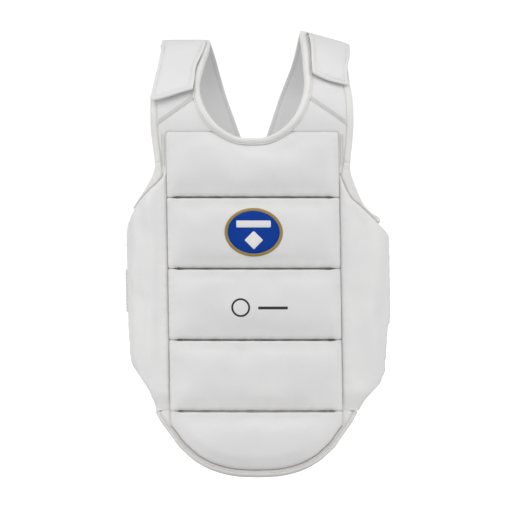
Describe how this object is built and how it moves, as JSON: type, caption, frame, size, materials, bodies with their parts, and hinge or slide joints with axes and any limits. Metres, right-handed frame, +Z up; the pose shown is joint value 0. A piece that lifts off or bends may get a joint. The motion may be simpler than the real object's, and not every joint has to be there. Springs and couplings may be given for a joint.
{
  "type": "chest protector",
  "caption": "White padded chest protector with horizontal chest pads, side wings, a rounded hem, crossed back straps, hook-and-loop shoulder flaps and an elastic waist belt.",
  "frame": {"origin": "on the torso's upright axis, midway between the sides, level with the lowest point of the hem", "axes": "+X to the right of a viewer who faces the front, -Y towards that viewer, +Z up towards the shoulders"},
  "size_m": [0.342, 0.2272, 0.5647],
  "materials": {
    "cover": "fine-grained white synthetic leather, satin",
    "binding": "pebbled white binding tape, satin",
    "lining": "off-white knitted lining, matt",
    "foam": "closed-cell foam, matt",
    "strap": "white synthetic leather strap with a fabric back, satin",
    "elastic": "white ribbed elastic webbing, matt",
    "loop_tape": "white brushed loop tape",
    "hook_tape": "white hook tape",
    "emblem_field": "blue transfer film",
    "emblem_rim": "dull gold transfer film",
    "emblem_mark": "white transfer film",
    "print": "black ink"
  },
  "bodies": {
    "front": {"front_lining": "lining", "chest_cover_1": "cover", "chest_cover_2": "cover", "chest_cover_3": "cover", "chest_cover_4": "cover", "chest_foam_1": "foam", "chest_foam_2": "foam", "chest_foam_3": "foam", "chest_foam_4": "foam", "yoke_left": "cover", "yoke_right": "cover", "shoulder_panel_left": "cover", "shoulder_panel_right": "cover", "shoulder_loop_left": "loop_tape", "shoulder_loop_right": "loop_tape", "neck_binding": "binding", "armhole_binding_left": "binding", "armhole_binding_right": "binding", "emblem_field": "emblem_field", "emblem_rim": "emblem_rim", "emblem_mark": "emblem_mark", "printed_mark": "print"},
    "tongue": {"tongue_cover": "cover", "tongue_foam": "foam", "tongue_lining": "lining", "hem_binding": "binding"},
    "wing_left": {"wing_cover_left": "cover", "wing_foam_left": "foam", "wing_lining_left": "lining", "wing_binding_left": "binding", "wing_loop_left": "loop_tape"},
    "wing_right": {"wing_cover_right": "cover", "wing_foam_right": "foam", "wing_lining_right": "lining", "wing_binding_right": "binding", "wing_loop_right": "loop_tape"},
    "flap_left": {"flap_left": "cover", "flap_hook_left": "hook_tape"},
    "flap_right": {"flap_right": "cover", "flap_hook_right": "hook_tape"},
    "harness": {"back_strap_left": "strap", "back_strap_right": "strap", "waist_belt": "elastic", "belt_anchor": "strap"},
    "tab_left": {"belt_tab_left": "elastic", "belt_hook_left": "hook_tape"},
    "tab_right": {"belt_tab_right": "elastic", "belt_hook_right": "hook_tape"}
  },
  "joints": [
    {"name": "wing_left_fold", "type": "hinge", "parent": "front", "child": "wing_left", "pos_m": [-0.11036, -0.08742, 0.24], "axis": [0, 0, 1], "range_deg": [0, 45]},
    {"name": "wing_right_fold", "type": "hinge", "parent": "front", "child": "wing_right", "pos_m": [0.11036, -0.08742, 0.24], "axis": [0, 0, -1], "range_deg": [0, 45]},
    {"name": "tongue_fold", "type": "hinge", "parent": "front", "child": "tongue", "pos_m": [0, -0.1045, 0.084], "axis": [-1, 0, 0], "range_deg": [0, 25], "stiffness_Nm_per_rad": 0.6},
    {"name": "flap_left_peel", "type": "hinge", "parent": "front", "child": "flap_left", "pos_m": [-0.092, 0.022, 0.5647], "axis": [-1, 0, 0], "range_deg": [0, 100]},
    {"name": "flap_right_peel", "type": "hinge", "parent": "front", "child": "flap_right", "pos_m": [0.092, 0.022, 0.5647], "axis": [-1, 0, 0], "range_deg": [0, 100]},
    {"name": "harness_swing", "type": "hinge", "parent": "front", "child": "harness", "pos_m": [0, 0.022, 0.5647], "axis": [1, 0, 0], "range_deg": [0, 45]},
    {"name": "tab_left_peel", "type": "hinge", "parent": "harness", "child": "tab_left", "pos_m": [-0.14526, -0.02733, 0.23], "axis": [0, 0, 1], "range_deg": [0, 60]},
    {"name": "tab_right_peel", "type": "hinge", "parent": "harness", "child": "tab_right", "pos_m": [0.14526, -0.02733, 0.23], "axis": [0, 0, -1], "range_deg": [0, 60]}
  ]
}
